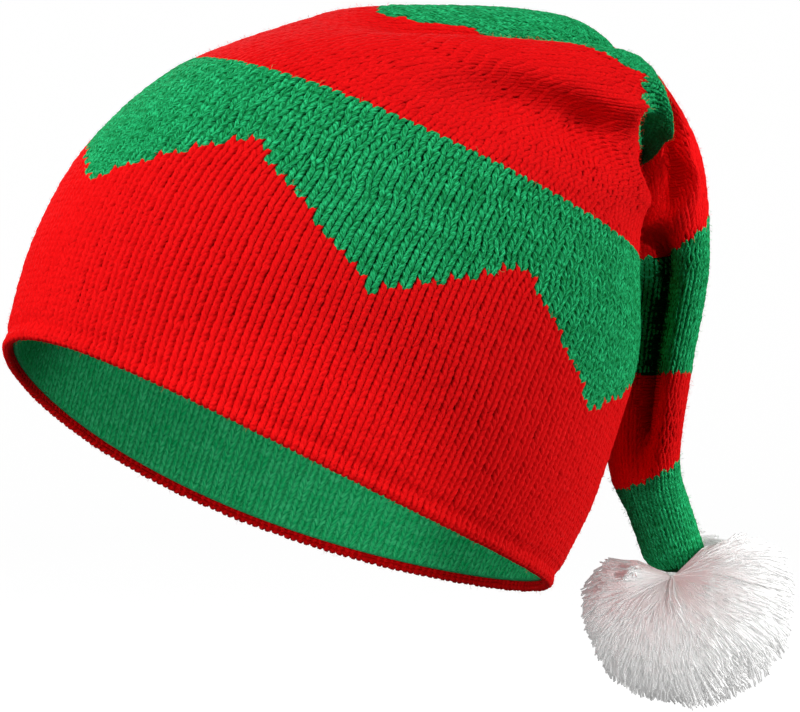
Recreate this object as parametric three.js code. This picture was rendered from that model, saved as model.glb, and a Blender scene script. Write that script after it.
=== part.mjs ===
// Knitted stocking hat with a hanging tail and a yarn pompom, worn tilted back on a head.
// Millimetres, +Z up. The origin is the middle of the head opening, the forehead is at -Y,
// the tail hangs at the back, +Y, and the wearer's left is +X.
import * as THREE from 'three';

// Driving sizes
const KNIT_WALL = 3.0;
const LINING_WALL = 2.0;
const LAYER_GAP = 0.4;
const LINING_DEPTH = 80;
const RIM_SHOWING = 3.0;
const RIM_TILT = THREE.MathUtils.degToRad(25);
const RIM_DROOP = 8.4;
const RIM_DROOP_FADE = 60;
const TAIL_GATHER = 8;
const POMPOM_RADIUS = 37.5;
const POMPOM_HALF_HEIGHT = 31;
const POMPOM_TILT = THREE.MathUtils.degToRad(10);
const POMPOM_BELOW_TAIL = 12.5;
const POMPOM_DIMPLE_RADIUS = 17;
const POMPOM_DIMPLE_FLOOR = 10.5;

// Facets
const TURN_STEPS = 44;
const POMPOM_TURN_STEPS = 28;
const POMPOM_CURVE_STEPS = 7;

// Colours
const RED_YARN = 0xd8141a;
const GREEN_YARN = 0x14713d;
const WHITE_YARN = 0xefeeec;
const YARN_ROUGHNESS = 0.85;

// Sections of the knitted tube. at: knit length up from the rim. outerY, outerZ: the point that
// starts at the forehead and runs over the top and down the back of the tail. innerY, innerZ: the
// point that starts at the nape and turns in under the fold. side: half width along X.
// twist: how far the knit is turned towards the wearer's left, in degrees. rise: how far the section
// climbs towards the wearer's left, or sinks where negative, for each millimetre along X.
const SECTIONS = [
  { at: 0, outerY: -94.2, outerZ: 44.8, innerY: 91.8, innerZ: -40.9, side: 78.3, twist: 0, rise: 0.028 },
  { at: 40, outerY: -81.7, outerZ: 82.2, innerY: 108.5, innerZ: -8, side: 83, twist: 0, rise: 0.016 },
  { at: 80, outerY: -60.1, outerZ: 114.2, innerY: 117, innerZ: 31, side: 78, twist: 0, rise: 0 },
  { at: 117, outerY: -24, outerZ: 139.3, innerY: 117.5, innerZ: 74, side: 68, twist: 0, rise: -0.03 },
  { at: 150, outerY: 27, outerZ: 152.7, innerY: 120, innerZ: 98, side: 59, twist: 4, rise: -0.1 },
  { at: 178, outerY: 68, outerZ: 153.8, innerY: 124, innerZ: 110, side: 52, twist: 8, rise: -0.145 },
  { at: 200, outerY: 101.5, outerZ: 152.4, innerY: 124, innerZ: 111, side: 46, twist: 8, rise: -0.145 },
  { at: 226, outerY: 123.5, outerZ: 145.5, innerY: 126, innerZ: 103, side: 38, twist: 8, rise: -0.1 },
  { at: 252, outerY: 147.5, outerZ: 114.8, innerY: 128, innerZ: 90, side: 31, twist: 8, rise: 0 },
  { at: 284, outerY: 155.9, outerZ: 76.5, innerY: 128.5, innerZ: 70, side: 25, twist: 5, rise: 0 },
  { at: 326, outerY: 150.2, outerZ: 32.8, innerY: 124, innerZ: 33, side: 21, twist: 0, rise: 0 },
  { at: 358, outerY: 147.3, outerZ: 2.5, innerY: 125, innerZ: -2, side: 16, twist: 0, rise: 0 },
  { at: 382, outerY: 153, outerZ: -13, innerY: 131.5, innerZ: -17, side: 12.5, twist: 0, rise: 0 },
  { at: 404, outerY: 161, outerZ: -33, innerY: 139, innerZ: -37, side: 11, twist: 0, rise: 0 },
];
const TAIL_END = SECTIONS.at(-1).at;

// Folds and bulges, each along a line on the knit from (fromAt, fromTurn) to (toAt, toTurn).
// Turns are degrees round from the forehead, positive to the wearer's left. width is how far the
// fold spreads from its line, and push is how far it stands out, or in where negative.
const FOLDS = [
  { name: 'top groove', fromAt: 160, fromTurn: 14, toAt: 216, toTurn: 20, width: 13, push: -19 },
  { name: 'far ridge', fromAt: 160, fromTurn: -26, toAt: 222, toTurn: -28, width: 20, push: 5 },
  { name: 'tail crease', fromAt: 229, fromTurn: 80, toAt: 251, toTurn: 128, width: 10, push: -12 },
  { name: 'tail lobe', fromAt: 211, fromTurn: 78, toAt: 215, toTurn: 112, width: 10, push: 7 },
  { name: 'tail pouch', fromAt: 254, fromTurn: 100, toAt: 263, toTurn: 145, width: 13, push: 8 },
  { name: 'tail recess', fromAt: 291, fromTurn: 144, toAt: 330, toTurn: 138, width: 20, push: -20 },
  { name: 'left dent', fromAt: 142, fromTurn: 78, toAt: 153, toTurn: 108, width: 18, push: -14 },
  { name: 'right dent', fromAt: 150, fromTurn: -75, toAt: 138, toTurn: -130, width: 16, push: -8 },
  { name: 'left back edge', fromAt: 140, fromTurn: 136, toAt: 186, toTurn: 99, width: 11, push: 6 },
  { name: 'corner tuck', fromAt: 190, fromTurn: 114, toAt: 186, toTurn: 142, width: 9, push: -5 },
  { name: 'left nape corner', fromAt: 95, fromTurn: 140, toAt: 122, toTurn: 140, width: 32, push: 8 },
  { name: 'right nape corner', fromAt: 95, fromTurn: -140, toAt: 122, toTurn: -140, width: 32, push: 8 },
];

// Knit lengths of the facet rows: stretches of the tube with their own row spacing.
const OUTER_STRETCHES = [
  { from: 1.5, to: 117, rows: 9 },
  { from: 117, to: 262, rows: 24 },
  { from: 262, to: TAIL_END - TAIL_GATHER, rows: 8 },
];
const LINED_STRETCH = { from: RIM_SHOWING, to: LINING_DEPTH, rows: 7 };
const INNER_STRETCHES = [
  { from: 1.5, to: RIM_SHOWING, rows: 1 },
  LINED_STRETCH,
  { from: LINING_DEPTH, to: 117, rows: 3 },
  { from: 117, to: 262, rows: 12 },
  { from: 262, to: TAIL_END - TAIL_GATHER - KNIT_WALL, rows: 6 },
];
const GATHER_ROWS = 3;
const RIM_ROUND_ROWS = 3;

// A smooth curve through one column of the section table, with slopes from its neighbours.
function sectionValue(column, at) {
  const last = SECTIONS.length - 1;
  const slope = (i) => {
    const rise = SECTIONS[i + 1][column] - SECTIONS[i][column];
    return rise / (SECTIONS[i + 1].at - SECTIONS[i].at);
  };
  const tangent = (i) => {
    if (i === 0) return slope(0);
    if (i === last) return slope(last - 1);
    const before = SECTIONS[i].at - SECTIONS[i - 1].at;
    const after = SECTIONS[i + 1].at - SECTIONS[i].at;
    return (slope(i - 1) * after + slope(i) * before) / (before + after);
  };
  let i = 0;
  while (i < last - 1 && at > SECTIONS[i + 1].at) i += 1;
  const span = SECTIONS[i + 1].at - SECTIONS[i].at;
  const t = (at - SECTIONS[i].at) / span;
  const blend = 3 * t ** 2 - 2 * t ** 3;
  return (
    SECTIONS[i][column] * (1 - blend) +
    SECTIONS[i + 1][column] * blend +
    span * tangent(i) * (t ** 3 - 2 * t ** 2 + t) +
    span * tangent(i + 1) * (t ** 3 - t ** 2)
  );
}

// How far the folds push the wall out at one place: each fades with the distance from its line.
function foldPush(at, turn) {
  let push = 0;
  for (const fold of FOLDS) {
    const alongAt = fold.toAt - fold.fromAt;
    const alongTurn = fold.toTurn - fold.fromTurn;
    const middle = (fold.fromTurn + fold.toTurn) / 2;
    const nearTurn = middle + THREE.MathUtils.euclideanModulo(turn - middle + 180, 360) - 180;
    const reach = (at - fold.fromAt) * alongAt + (nearTurn - fold.fromTurn) * alongTurn;
    const part = THREE.MathUtils.clamp(reach / (alongAt ** 2 + alongTurn ** 2), 0, 1);
    const awayAt = at - fold.fromAt - part * alongAt;
    const awayTurn = nearTurn - fold.fromTurn - part * alongTurn;
    push += fold.push * Math.exp(-(awayAt ** 2 + awayTurn ** 2) / fold.width ** 2);
  }
  return push;
}

// A point of the knitted tube at a knit length and a turn in radians, set in from the outer face.
// gather shrinks the section towards its middle, for the closed end of the tail.
function knitPoint(at, turn, inset, gather = 1) {
  const outer = new THREE.Vector2(sectionValue('outerY', at), sectionValue('outerZ', at));
  const inner = new THREE.Vector2(sectionValue('innerY', at), sectionValue('innerZ', at));
  const middle = outer.clone().add(inner).multiplyScalar(0.5);
  const outward = outer.clone().sub(inner);
  const depth = outward.length() / 2;
  const side = sectionValue('side', at);
  outward.normalize();
  const twisted = turn + THREE.MathUtils.degToRad(sectionValue('twist', at));
  const angle = twisted + 0.5 * ((depth - side) / (depth + side)) * Math.sin(2 * twisted);
  const push = foldPush(at, THREE.MathUtils.radToDeg(angle)) - inset;
  const out = (depth + push) * gather * Math.cos(angle);
  const across = (side + push) * gather * Math.sin(angle);
  const droop = RIM_DROOP * Math.sin(angle) ** 2 * Math.exp(-((at / RIM_DROOP_FADE) ** 2));
  const climb = sectionValue('rise', at) * across;
  return new THREE.Vector3(
    across,
    middle.x + outward.x * out - droop * Math.sin(RIM_TILT),
    middle.y + outward.y * out - droop * Math.cos(RIM_TILT) + climb,
  );
}

function knitRing(at, inset, gather = 1) {
  const ring = [];
  for (let k = 0; k < TURN_STEPS; k += 1) {
    ring.push(knitPoint(at, (2 * Math.PI * k) / TURN_STEPS, inset, gather));
  }
  return ring;
}

// The knit lengths of the rows of some stretches, without repeating the rows where they meet.
function rowLengths(stretches) {
  const lengths = [stretches[0].from];
  for (const { from, to, rows } of stretches) {
    for (let i = 1; i <= rows; i += 1) lengths.push(from + ((to - from) * i) / rows);
  }
  return lengths;
}

// A round-nosed edge at the rim, from the outer face round to a face that is inset by a wall.
function edgeRings(start, inset, wall, rows) {
  const rings = [];
  for (let i = 1; i < 2 * rows; i += 1) {
    const swing = (Math.PI * i) / (2 * rows);
    const across = (wall / 2) * (1 - Math.cos(swing));
    rings.push(knitRing(start - (wall / 2) * Math.sin(swing), inset + across));
  }
  return rings;
}

// A closed skin through rings of points. With poles, each end closes on a point; without, the last
// ring joins the first.
function skinGeometry(rings, poles) {
  const count = rings[0].length;
  const points = rings.flat();
  const faces = [];
  const ringPairs = poles ? rings.length - 1 : rings.length;
  for (let r = 0; r < ringPairs; r += 1) {
    const next = (r + 1) % rings.length;
    for (let k = 0; k < count; k += 1) {
      const a = r * count + k;
      const b = r * count + ((k + 1) % count);
      const c = next * count + ((k + 1) % count);
      const d = next * count + k;
      faces.push(a, c, b, a, d, c);
    }
  }
  if (poles) {
    const first = points.push(poles[0]) - 1;
    const last = points.push(poles[1]) - 1;
    const lastRing = (rings.length - 1) * count;
    for (let k = 0; k < count; k += 1) {
      const next = (k + 1) % count;
      faces.push(first, k, next);
      faces.push(last, lastRing + next, lastRing + k);
    }
  }
  const geometry = new THREE.BufferGeometry().setFromPoints(points);
  geometry.setIndex(faces);
  geometry.computeVertexNormals();
  return geometry;
}

// The end of the tail: rows that draw the tube together like a gathered stocking toe.
function gatherRings(start, length, inset) {
  const rings = [];
  for (let i = 1; i <= GATHER_ROWS; i += 1) {
    const swing = (Math.PI / 2) * (i / (GATHER_ROWS + 1));
    rings.push(knitRing(start + length * Math.sin(swing), inset, Math.cos(swing)));
  }
  return rings;
}

function ringMiddle(at) {
  return new THREE.Vector3(
    0,
    (sectionValue('outerY', at) + sectionValue('innerY', at)) / 2,
    (sectionValue('outerZ', at) + sectionValue('innerZ', at)) / 2,
  );
}

function knitShellGeometry() {
  const outerRows = rowLengths(OUTER_STRETCHES).reverse();
  const innerRows = rowLengths(INNER_STRETCHES);
  const outerEnd = outerRows[0];
  const innerEnd = innerRows.at(-1);
  const rings = [
    ...gatherRings(outerEnd, TAIL_GATHER, 0).reverse(),
    ...outerRows.map((at) => knitRing(at, 0)),
    ...edgeRings(outerRows.at(-1), 0, KNIT_WALL, RIM_ROUND_ROWS),
    ...innerRows.map((at) => knitRing(at, KNIT_WALL)),
    ...gatherRings(innerEnd, TAIL_GATHER, KNIT_WALL),
  ];
  const poles = [ringMiddle(outerEnd + TAIL_GATHER), ringMiddle(innerEnd + TAIL_GATHER)];
  return skinGeometry(rings, poles);
}

function liningGeometry() {
  const outerInset = KNIT_WALL + LAYER_GAP;
  const innerInset = outerInset + LINING_WALL;
  const rows = rowLengths([LINED_STRETCH]);
  const rings = [
    ...rows.slice().reverse().map((at) => knitRing(at, outerInset)),
    ...rows.map((at) => knitRing(at, innerInset)),
  ];
  return skinGeometry(rings, null);
}

// The trimmed ball of yarn: half an oval outline, turned round its own axis, with a dimple on top
// that takes the end of the tail.
function pompomGeometry() {
  const outline = new THREE.Path();
  const dimpleStart = Math.acos(POMPOM_DIMPLE_RADIUS / POMPOM_RADIUS);
  outline.absellipse(0, 0, POMPOM_RADIUS, POMPOM_HALF_HEIGHT, -Math.PI / 2, dimpleStart, false, 0);
  outline.quadraticCurveTo(POMPOM_DIMPLE_RADIUS, POMPOM_DIMPLE_FLOOR, 0, POMPOM_DIMPLE_FLOOR);
  const profile = outline.getPoints(POMPOM_CURVE_STEPS);
  profile[0].x = 0;
  profile.at(-1).x = 0;
  return new THREE.LatheGeometry(profile, POMPOM_TURN_STEPS);
}

function yarnMesh(name, geometry, colour) {
  const material = new THREE.MeshStandardMaterial({
    color: colour,
    roughness: YARN_ROUGHNESS,
    metalness: 0,
  });
  const mesh = new THREE.Mesh(geometry, material);
  mesh.name = name;
  return mesh;
}

const hat = new THREE.Group();
hat.add(yarnMesh('knit_shell', knitShellGeometry(), RED_YARN));
hat.add(yarnMesh('lining', liningGeometry(), GREEN_YARN));

const pompom = yarnMesh('pompom', pompomGeometry(), WHITE_YARN);
const tailwards = new THREE.Vector3(0, -Math.sin(POMPOM_TILT), Math.cos(POMPOM_TILT));
pompom.rotation.x = Math.PI / 2 + POMPOM_TILT;
pompom.position.copy(ringMiddle(TAIL_END).addScaledVector(tailwards, -POMPOM_BELOW_TAIL));
hat.add(pompom);

export default hat;
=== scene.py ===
"""A knitted stocking hat: striped knit with zigzag edges, a lined rim, a folded tail and a yarn pompom.

Lengths in the tables are millimetres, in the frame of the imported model: +Z up, the origin in the middle
of the head opening, the forehead at -Y, the tail at +Y and the wearer's left at +X.
"""

import bpy
import numpy as np
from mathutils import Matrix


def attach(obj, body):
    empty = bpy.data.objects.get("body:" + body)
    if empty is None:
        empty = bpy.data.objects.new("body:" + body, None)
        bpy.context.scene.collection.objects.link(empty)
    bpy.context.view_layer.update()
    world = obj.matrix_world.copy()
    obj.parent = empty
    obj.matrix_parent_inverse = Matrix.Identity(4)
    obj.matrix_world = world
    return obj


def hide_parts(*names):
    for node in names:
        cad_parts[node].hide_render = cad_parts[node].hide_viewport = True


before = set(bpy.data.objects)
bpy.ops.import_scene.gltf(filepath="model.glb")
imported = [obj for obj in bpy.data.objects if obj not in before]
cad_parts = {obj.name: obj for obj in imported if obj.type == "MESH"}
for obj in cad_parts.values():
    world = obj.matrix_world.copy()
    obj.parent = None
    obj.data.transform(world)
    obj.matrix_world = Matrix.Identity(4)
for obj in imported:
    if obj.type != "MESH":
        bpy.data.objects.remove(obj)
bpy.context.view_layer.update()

MM = 0.001

# Sizes of the knitted tube
# A row for each section, by knit length up from the rim. The outer point starts at the forehead and runs
# over the top and down the back of the tail; the inner point starts at the nape and turns in under the
# fold. side is the half width along X, twist the turn to the wearer's left in degrees, and rise how far
# the section climbs for each millimetre towards the wearer's left.
SECTIONS = np.array(
    [
        (0, -94.2, 44.8, 91.8, -40.9, 78.3, 0, 0.028),
        (40, -81.7, 82.2, 108.5, -8.0, 83.0, 0, 0.016),
        (80, -60.1, 114.2, 117.0, 31.0, 78.0, 0, 0),
        (117, -24.0, 139.3, 117.5, 74.0, 68.0, 0, -0.03),
        (150, 27.0, 152.7, 120.0, 98.0, 59.0, 4, -0.1),
        (178, 68.0, 153.8, 124.0, 110.0, 52.0, 8, -0.145),
        (200, 101.5, 152.4, 124.0, 111.0, 46.0, 8, -0.145),
        (226, 123.5, 145.5, 126.0, 103.0, 38.0, 8, -0.1),
        (252, 147.5, 114.8, 128.0, 90.0, 31.0, 8, 0),
        (284, 155.9, 76.5, 128.5, 70.0, 25.0, 5, 0),
        (326, 150.2, 32.8, 124.0, 33.0, 21.0, 0, 0),
        (358, 147.3, 2.5, 125.0, -2.0, 16.0, 0, 0),
        (382, 153.0, -13.0, 131.5, -17.0, 12.5, 0, 0),
        (404, 161.0, -33.0, 139.0, -37.0, 11.0, 0, 0),
    ],
    dtype=[
        ("at", float),
        ("outer_y", float),
        ("outer_z", float),
        ("inner_y", float),
        ("inner_z", float),
        ("side", float),
        ("twist", float),
        ("rise", float),
    ],
)
TAIL_END = 404.0
TAIL_GATHER = 8.0
RIM_TILT = np.radians(25)
RIM_DROOP = 8.4
RIM_DROOP_FADE = 60.0

# Folds along lines on the knit: knit length and degrees round from the forehead at both ends, how far
# the fold spreads and how far it stands out, or in where negative.
FOLDS = np.array(
    [
        ("top groove", 160, 14, 216, 20, 13, -19),
        ("far ridge", 160, -26, 222, -28, 20, 5),
        ("tail crease", 229, 80, 251, 128, 10, -12),
        ("tail lobe", 211, 78, 215, 112, 10, 7),
        ("tail pouch", 254, 100, 263, 145, 13, 8),
        ("tail recess", 291, 144, 330, 138, 20, -20),
        ("left dent", 142, 78, 153, 108, 18, -14),
        ("right dent", 150, -75, 138, -130, 16, -8),
        ("left back edge", 140, 136, 186, 99, 11, 6),
        ("corner tuck", 190, 114, 186, 142, 9, -5),
        ("left nape corner", 95, 140, 122, 140, 32, 8),
        ("right nape corner", 95, -140, 122, -140, 32, 8),
    ],
    dtype=[
        ("name", "U20"),
        ("from_at", float),
        ("from_turn", float),
        ("to_at", float),
        ("to_turn", float),
        ("width", float),
        ("push", float),
    ],
)

# Edges of the green stripes, from the rim: the zigzag that each starts with, and the straight edge where
# it ends. The two wide zigzags go from point to point, given as degrees round and knit length; the two
# small ones on the tail are even waves to both sides of the forehead's middle.
STRIPE_ENDS = (113.5, 226.0, 326.5, 600.0)
ZIGZAG_POINTS = np.array(
    [
        (0, -180, 70.5),
        (0, -166, 57),
        (0, -137, 86),
        (0, -108, 57),
        (0, -79, 86),
        (0, -50, 57),
        (0, -21.5, 86),
        (0, 7.5, 57),
        (0, 38.5, 87),
        (0, 74, 55.5),
        (0, 105, 86.5),
        (0, 134.5, 57),
        (0, 164, 86),
        (0, 180, 70.5),
        (1, -180, 190),
        (1, -120, 172),
        (1, -60, 196),
        (1, -19, 161),
        (1, -8, 158),
        (1, -4, 176),
        (1, 14, 180),
        (1, 51.5, 196),
        (1, 66.5, 206),
        (1, 77.5, 198),
        (1, 100, 182),
        (1, 124, 170),
        (1, 150, 178),
        (1, 180, 190),
    ],
    dtype=[("stripe", int), ("turn", float), ("at", float)],
)
ZIGZAG_WAVES = np.array(
    [(2, 276.5, 8.0), (3, 360.4, 9.0)], dtype=[("stripe", int), ("middle_at", float), ("rise", float)]
)
ZIGZAG_PERIOD = 104.0
ZIGZAG_MIDDLE = np.radians(7.5)

# The outer knit: its wales, how they narrow up the tail, how slowly a wale that ends shrinks and the least
# of it that is still knitted; its courses, which lie closer over the fold; and how the upper red lies
# flatter and sinks on its wall.
WALE = 4.8
WALE_NARROWS = np.array(
    [(0, 1.0), (150, 1.0), (250, 0.8), (404, 0.6)], dtype=[("at", float), ("share", float)]
)
RIM_WALES = 120
WALE_FADE = 3.0
GOLDEN_RATIO = 0.6180339887
WALE_LEAST = 0.12
COURSE = 2.15
FOLD_COURSE = 1.95
FOLD_FROM = 118.0
FOLD_TO = 258.0
RED_FLATTENS = np.array([(100, 1.0), (125, 0.62)], dtype=[("at", float), ("share", float)])
FLAT_SINK = 1.3

# The rim's edge and hem, and the wall that the stitches stand on.
ROLLED_IN = 6.2
EDGE_ROUND = 1.5
HEM_AT = 5.5
HEM_WIDTH = 2.2
HEM_DIP = 0.8
KNIT_WALL = 3.0
WALL_BED = 1.5

# One leg of a stitch: its middle and half width in wales, the share of its width that is left at its ends
# and of its height at its edges, how far its shoulder sinks, and the part of a half wave it swells by.
LEG_MIDDLE = 0.25
LEG_HALF_WIDTH = 0.225
LEG_ENDS = 0.55
LEG_EDGES = 0.35
LEG_SHOULDER = 0.25
SWELL_FROM = 0.08
SWELL_RUN = 0.86
SWELL_ROUND = 0.6

# How unlike the stitches are in size, place and height, and how far apart their yarn maps start.
SIZE_VARIES = 0.035
SLIP_VARIES = 0.02
RISE_VARIES = 0.07
MAP_SHIFT = 40.0

# The lining, set in from the outer face of the knit.
LINING_FACE = 5.4
LINING_BACK = 3.4
LINING_BED = 0.3
LINING_FROM = 3.0
LINING_FIRST = 1.9
LINING_TO = 80.0
LINING_WALES = 130
LINING_WALE = 4.1
LINING_COURSE = 2.05
LINING_TONE = 0.2

# Meshes of the cloth under the stitches: points round, rows outside and inside, rows of the rim's edge, of
# the gathered end and of the lining, and the yarn map's length to a radian of turn.
CLOTH_TURNS = 150
OUTSIDE_ROWS = 150
INSIDE_ROWS = 100
EDGE_ROWS = 6
GATHER_ROWS = 6
LINING_ROWS = 40
CLOTH_MAP = 95.0

# The pompom: an oval ball, the place on the tail's end where its strands are tied, and the tail's way
# through it, from its end to a place up the tail.
POMPOM_MIDDLE = np.array([0.0, 151.2, -42.5])
POMPOM_RADIUS = 38.0
POMPOM_TOP = 27.0
POMPOM_TIE = np.array([9.0, 141.5, -35.5])
POMPOM_DIMPLE = np.radians(62)
MIRROR = np.array([-1.0, 1.0, 1.0])
TAIL_UP = 370.0
TAIL_CLEAR = 11.5
TAIL_BARE = 1.8
TAIL_FADE = 6.0

# Its locks of strands: how many, how far from the tie and from its opposite they end, and how unlike they
# are in angle, turn, trim and bow.
LOCKS = 740
LOCK_STRANDS = 13
LOCKS_FROM = np.cos(np.radians(40))
LOCKS_TO = np.cos(np.radians(4))
LOCK_VARIES = {"end": 0.10, "turn": 0.1, "trim": 0.03, "bow": 0.10}
LOCK_FREE = 0.9

# Its strands: thickness and how it changes along them, how unlike they are within a lock, the angles from
# the tie that they leave and end at, how deep they lie at first and how soon they come up, the painted
# shade at their roots and the glow painted on them.
STRAND = 0.40
STRAND_TAPER = np.array([0.7, 0.9, 1.0, 1.0, 0.8])
STRAND_SIDES = 3
STRAND_VARIES = {"end": 0.06, "turn": 0.05, "trim": 0.008, "bow": 0.03, "drift": 0.02}
STRAND_ENDS = (0.5, 3.05)
SPREAD_LEAST = 0.25
STRAND_START = (0.02, 0.12)
STRAND_DEEP = 0.15
STRAND_RISE = 0.7
STRAND_ROOT_SHADE = 0.25
STRAND_GLOW = 0.12

# Its heart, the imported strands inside.
HEART_SIZE = 0.78
HEART_TOP = -39.0
HEART_ROWS = 23
HEART_TURNS = 48
HEART_MAP = 20.0

# Loose fibres on the knit: how many to a stripe's stitch, their length, lift and width, how far they bow
# aside, how deep they are rooted, how high their middle and tip stand, and how they taper.
FUZZ_PER_STITCH = 1.0
FUZZ_LENGTH = (0.9, 2.8)
FUZZ_LIFT = (0.2, 1.1)
FUZZ_WIDTH = 0.09
FUZZ_BOW = 0.25
FUZZ_ROOT = 0.3
FUZZ_MIDDLE = 0.8
FUZZ_TIP = (0.1, 1.0)
FUZZ_TAPER = np.array([1.0, 0.8, 0.3])

# Starts of the random draws; each stripe's is its number.
LINING_SEED = 20
FUZZ_SEED = 40
POMPOM_SEED = 7

# Small steps along and round a face that its slopes are taken from, and the chords of a measured ring.
STEP_ALONG = 0.3
STEP_TURN = 0.006
GIRTH_ROWS = 199
GIRTH_CHORDS = 360
WALE_CHORDS = 720


# The hat's form
def section_curve(column, at):
    """A smooth curve through one column of SECTIONS at the given knit lengths: cubic pieces whose slopes
    at each row are the mean of the two neighbouring slopes, weighted by the nearer row."""
    x, y = SECTIONS["at"], SECTIONS[column]
    step = np.diff(x)
    slope = np.diff(y) / step
    tangent = np.empty_like(y)
    tangent[0], tangent[-1] = slope[0], slope[-1]
    tangent[1:-1] = (slope[:-1] * step[1:] + slope[1:] * step[:-1]) / (step[:-1] + step[1:])
    i = np.clip(np.searchsorted(x, at, "right") - 1, 0, len(step) - 1)
    t = (at - x[i]) / step[i]
    rise = t * t * (3 - 2 * t)
    lean = step[i] * t * (t - 1)
    return y[i] * (1 - rise) + y[i + 1] * rise + lean * ((t - 1) * tangent[i] + t * tangent[i + 1])


def knit_face(at, turn, lift=0.0):
    """Points of the outer face at knit length `at` and `turn` radians round from the forehead, moved out by
    `lift`. A section is an oval between its outer and inner point, with the turn spaced by arc; each fold
    adds a push that fades with the square of the distance from its line; the rim droops at the sides and
    the tail's end is drawn together as a quarter round."""
    at, turn, lift = np.broadcast_arrays(*(np.asarray(v, float) for v in (at, turn, lift)))
    outer_y, outer_z, inner_y, inner_z, side, twist, rise = (
        section_curve(column, at) for column in SECTIONS.dtype.names[1:]
    )
    depth = np.hypot(outer_y - inner_y, outer_z - inner_z) / 2
    out_y, out_z = (outer_y - inner_y) / (2 * depth), (outer_z - inner_z) / (2 * depth)
    angle = turn + np.radians(twist)
    angle = angle + 0.5 * (depth - side) / (depth + side) * np.sin(2 * angle)
    push = lift + fold_push(at, np.degrees(angle))
    ending = np.clip((at - TAIL_END + TAIL_GATHER) / TAIL_GATHER, 0, 1)
    gather = np.sqrt(1 - ending**2)
    out = (depth + push) * gather * np.cos(angle)
    across = (side + push) * gather * np.sin(angle)
    droop = RIM_DROOP * np.sin(angle) ** 2 * np.exp(-((at / RIM_DROOP_FADE) ** 2))
    return np.stack(
        [
            across,
            (outer_y + inner_y) / 2 + out_y * out - droop * np.sin(RIM_TILT),
            (outer_z + inner_z) / 2 + out_z * out - droop * np.cos(RIM_TILT) + rise * across,
        ],
        axis=-1,
    )


def fold_push(at, degrees):
    """Sum over the folds of push times exp(-(distance from the fold's line / width) squared)."""
    push = np.zeros_like(at)
    for fold in FOLDS:
        along_at = fold["to_at"] - fold["from_at"]
        along_turn = fold["to_turn"] - fold["from_turn"]
        middle = (fold["from_turn"] + fold["to_turn"]) / 2
        away_turn = (degrees - middle + 180) % 360 - 180 + middle - fold["from_turn"]
        away_at = at - fold["from_at"]
        part = (away_at * along_at + away_turn * along_turn) / (along_at**2 + along_turn**2)
        part = np.clip(part, 0, 1)
        gap = (away_at - part * along_at) ** 2 + (away_turn - part * along_turn) ** 2
        push = push + fold["push"] * np.exp(-gap / fold["width"] ** 2)
    return push


def hem_dip(at):
    """How far the knit is drawn in by the hem's stitching: a shallow groove round the rim."""
    return -HEM_DIP * np.exp(-(((at - HEM_AT) / HEM_WIDTH) ** 2))


def knit_path(along, turn):
    """The knit's own face followed round the rim: above the rim it is the outer face, then a half round of
    the edge's radius, then up the inside of the wall."""
    swing = np.clip((EDGE_ROUND - along) / EDGE_ROUND, 0, np.pi)
    inside = np.maximum(EDGE_ROUND - np.pi * EDGE_ROUND - along, 0)
    at = np.maximum(along, EDGE_ROUND) - EDGE_ROUND * np.sin(swing) + inside
    return knit_face(at, turn, hem_dip(along) - EDGE_ROUND * (1 - np.cos(swing)))


def lining_path(along, turn):
    """The lining's inner face, which looks in at the head."""
    return knit_face(along, turn, -LINING_FACE)


def unit(vectors):
    """Vectors brought to a length of one."""
    return vectors / np.maximum(np.linalg.norm(vectors, axis=-1, keepdims=True), 1e-9)


def face_frame(path, along, turn, outward):
    """Points of a face and their unit vectors out of it, along it and round it, from small steps."""
    up = path(along + STEP_ALONG, turn) - path(along - STEP_ALONG, turn)
    across = path(along, turn + STEP_TURN) - path(along, turn - STEP_TURN)
    normal = outward * np.cross(across, up)
    return path(along, turn), unit(normal), unit(up), unit(across)


def girth(at):
    """Length round the outer face at each knit length, from a polygon of small chords."""
    turn = np.linspace(-np.pi, np.pi, GIRTH_CHORDS + 1)
    ring = knit_face(np.asarray(at, float)[:, None], turn[None, :])
    return np.linalg.norm(np.diff(ring, axis=1), axis=-1).sum(axis=1)


GIRTH_AT = np.linspace(0, TAIL_END - TAIL_GATHER, GIRTH_ROWS)
GIRTH = girth(GIRTH_AT)


def stripe_depth(at, turn):
    """How far inside a green stripe a place is, in millimetres, negative in the red. A zigzag edge goes
    straight from point to point, or is a triangle wave of the arc from the forehead's middle."""
    at, turn = np.broadcast_arrays(np.asarray(at, float), np.asarray(turn, float))
    degrees = (np.degrees(turn) + 180) % 360 - 180
    away = np.abs((turn - ZIGZAG_MIDDLE + np.pi) % (2 * np.pi) - np.pi)
    arc = away / (2 * np.pi) * np.interp(at, GIRTH_AT, GIRTH)
    wave = 1 - 4 * np.abs((arc / ZIGZAG_PERIOD) % 1 - 0.5)
    inside = np.full(at.shape, -np.inf)
    for stripe, ends_at in enumerate(STRIPE_ENDS):
        points = ZIGZAG_POINTS[ZIGZAG_POINTS["stripe"] == stripe]
        if len(points):
            starts = np.interp(degrees, points["turn"], points["at"])
        else:
            row = ZIGZAG_WAVES[ZIGZAG_WAVES["stripe"] == stripe][0]
            starts = row["middle_at"] + row["rise"] * wave
        inside = np.maximum(inside, np.minimum(at - starts, ends_at - at))
    return inside


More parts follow.
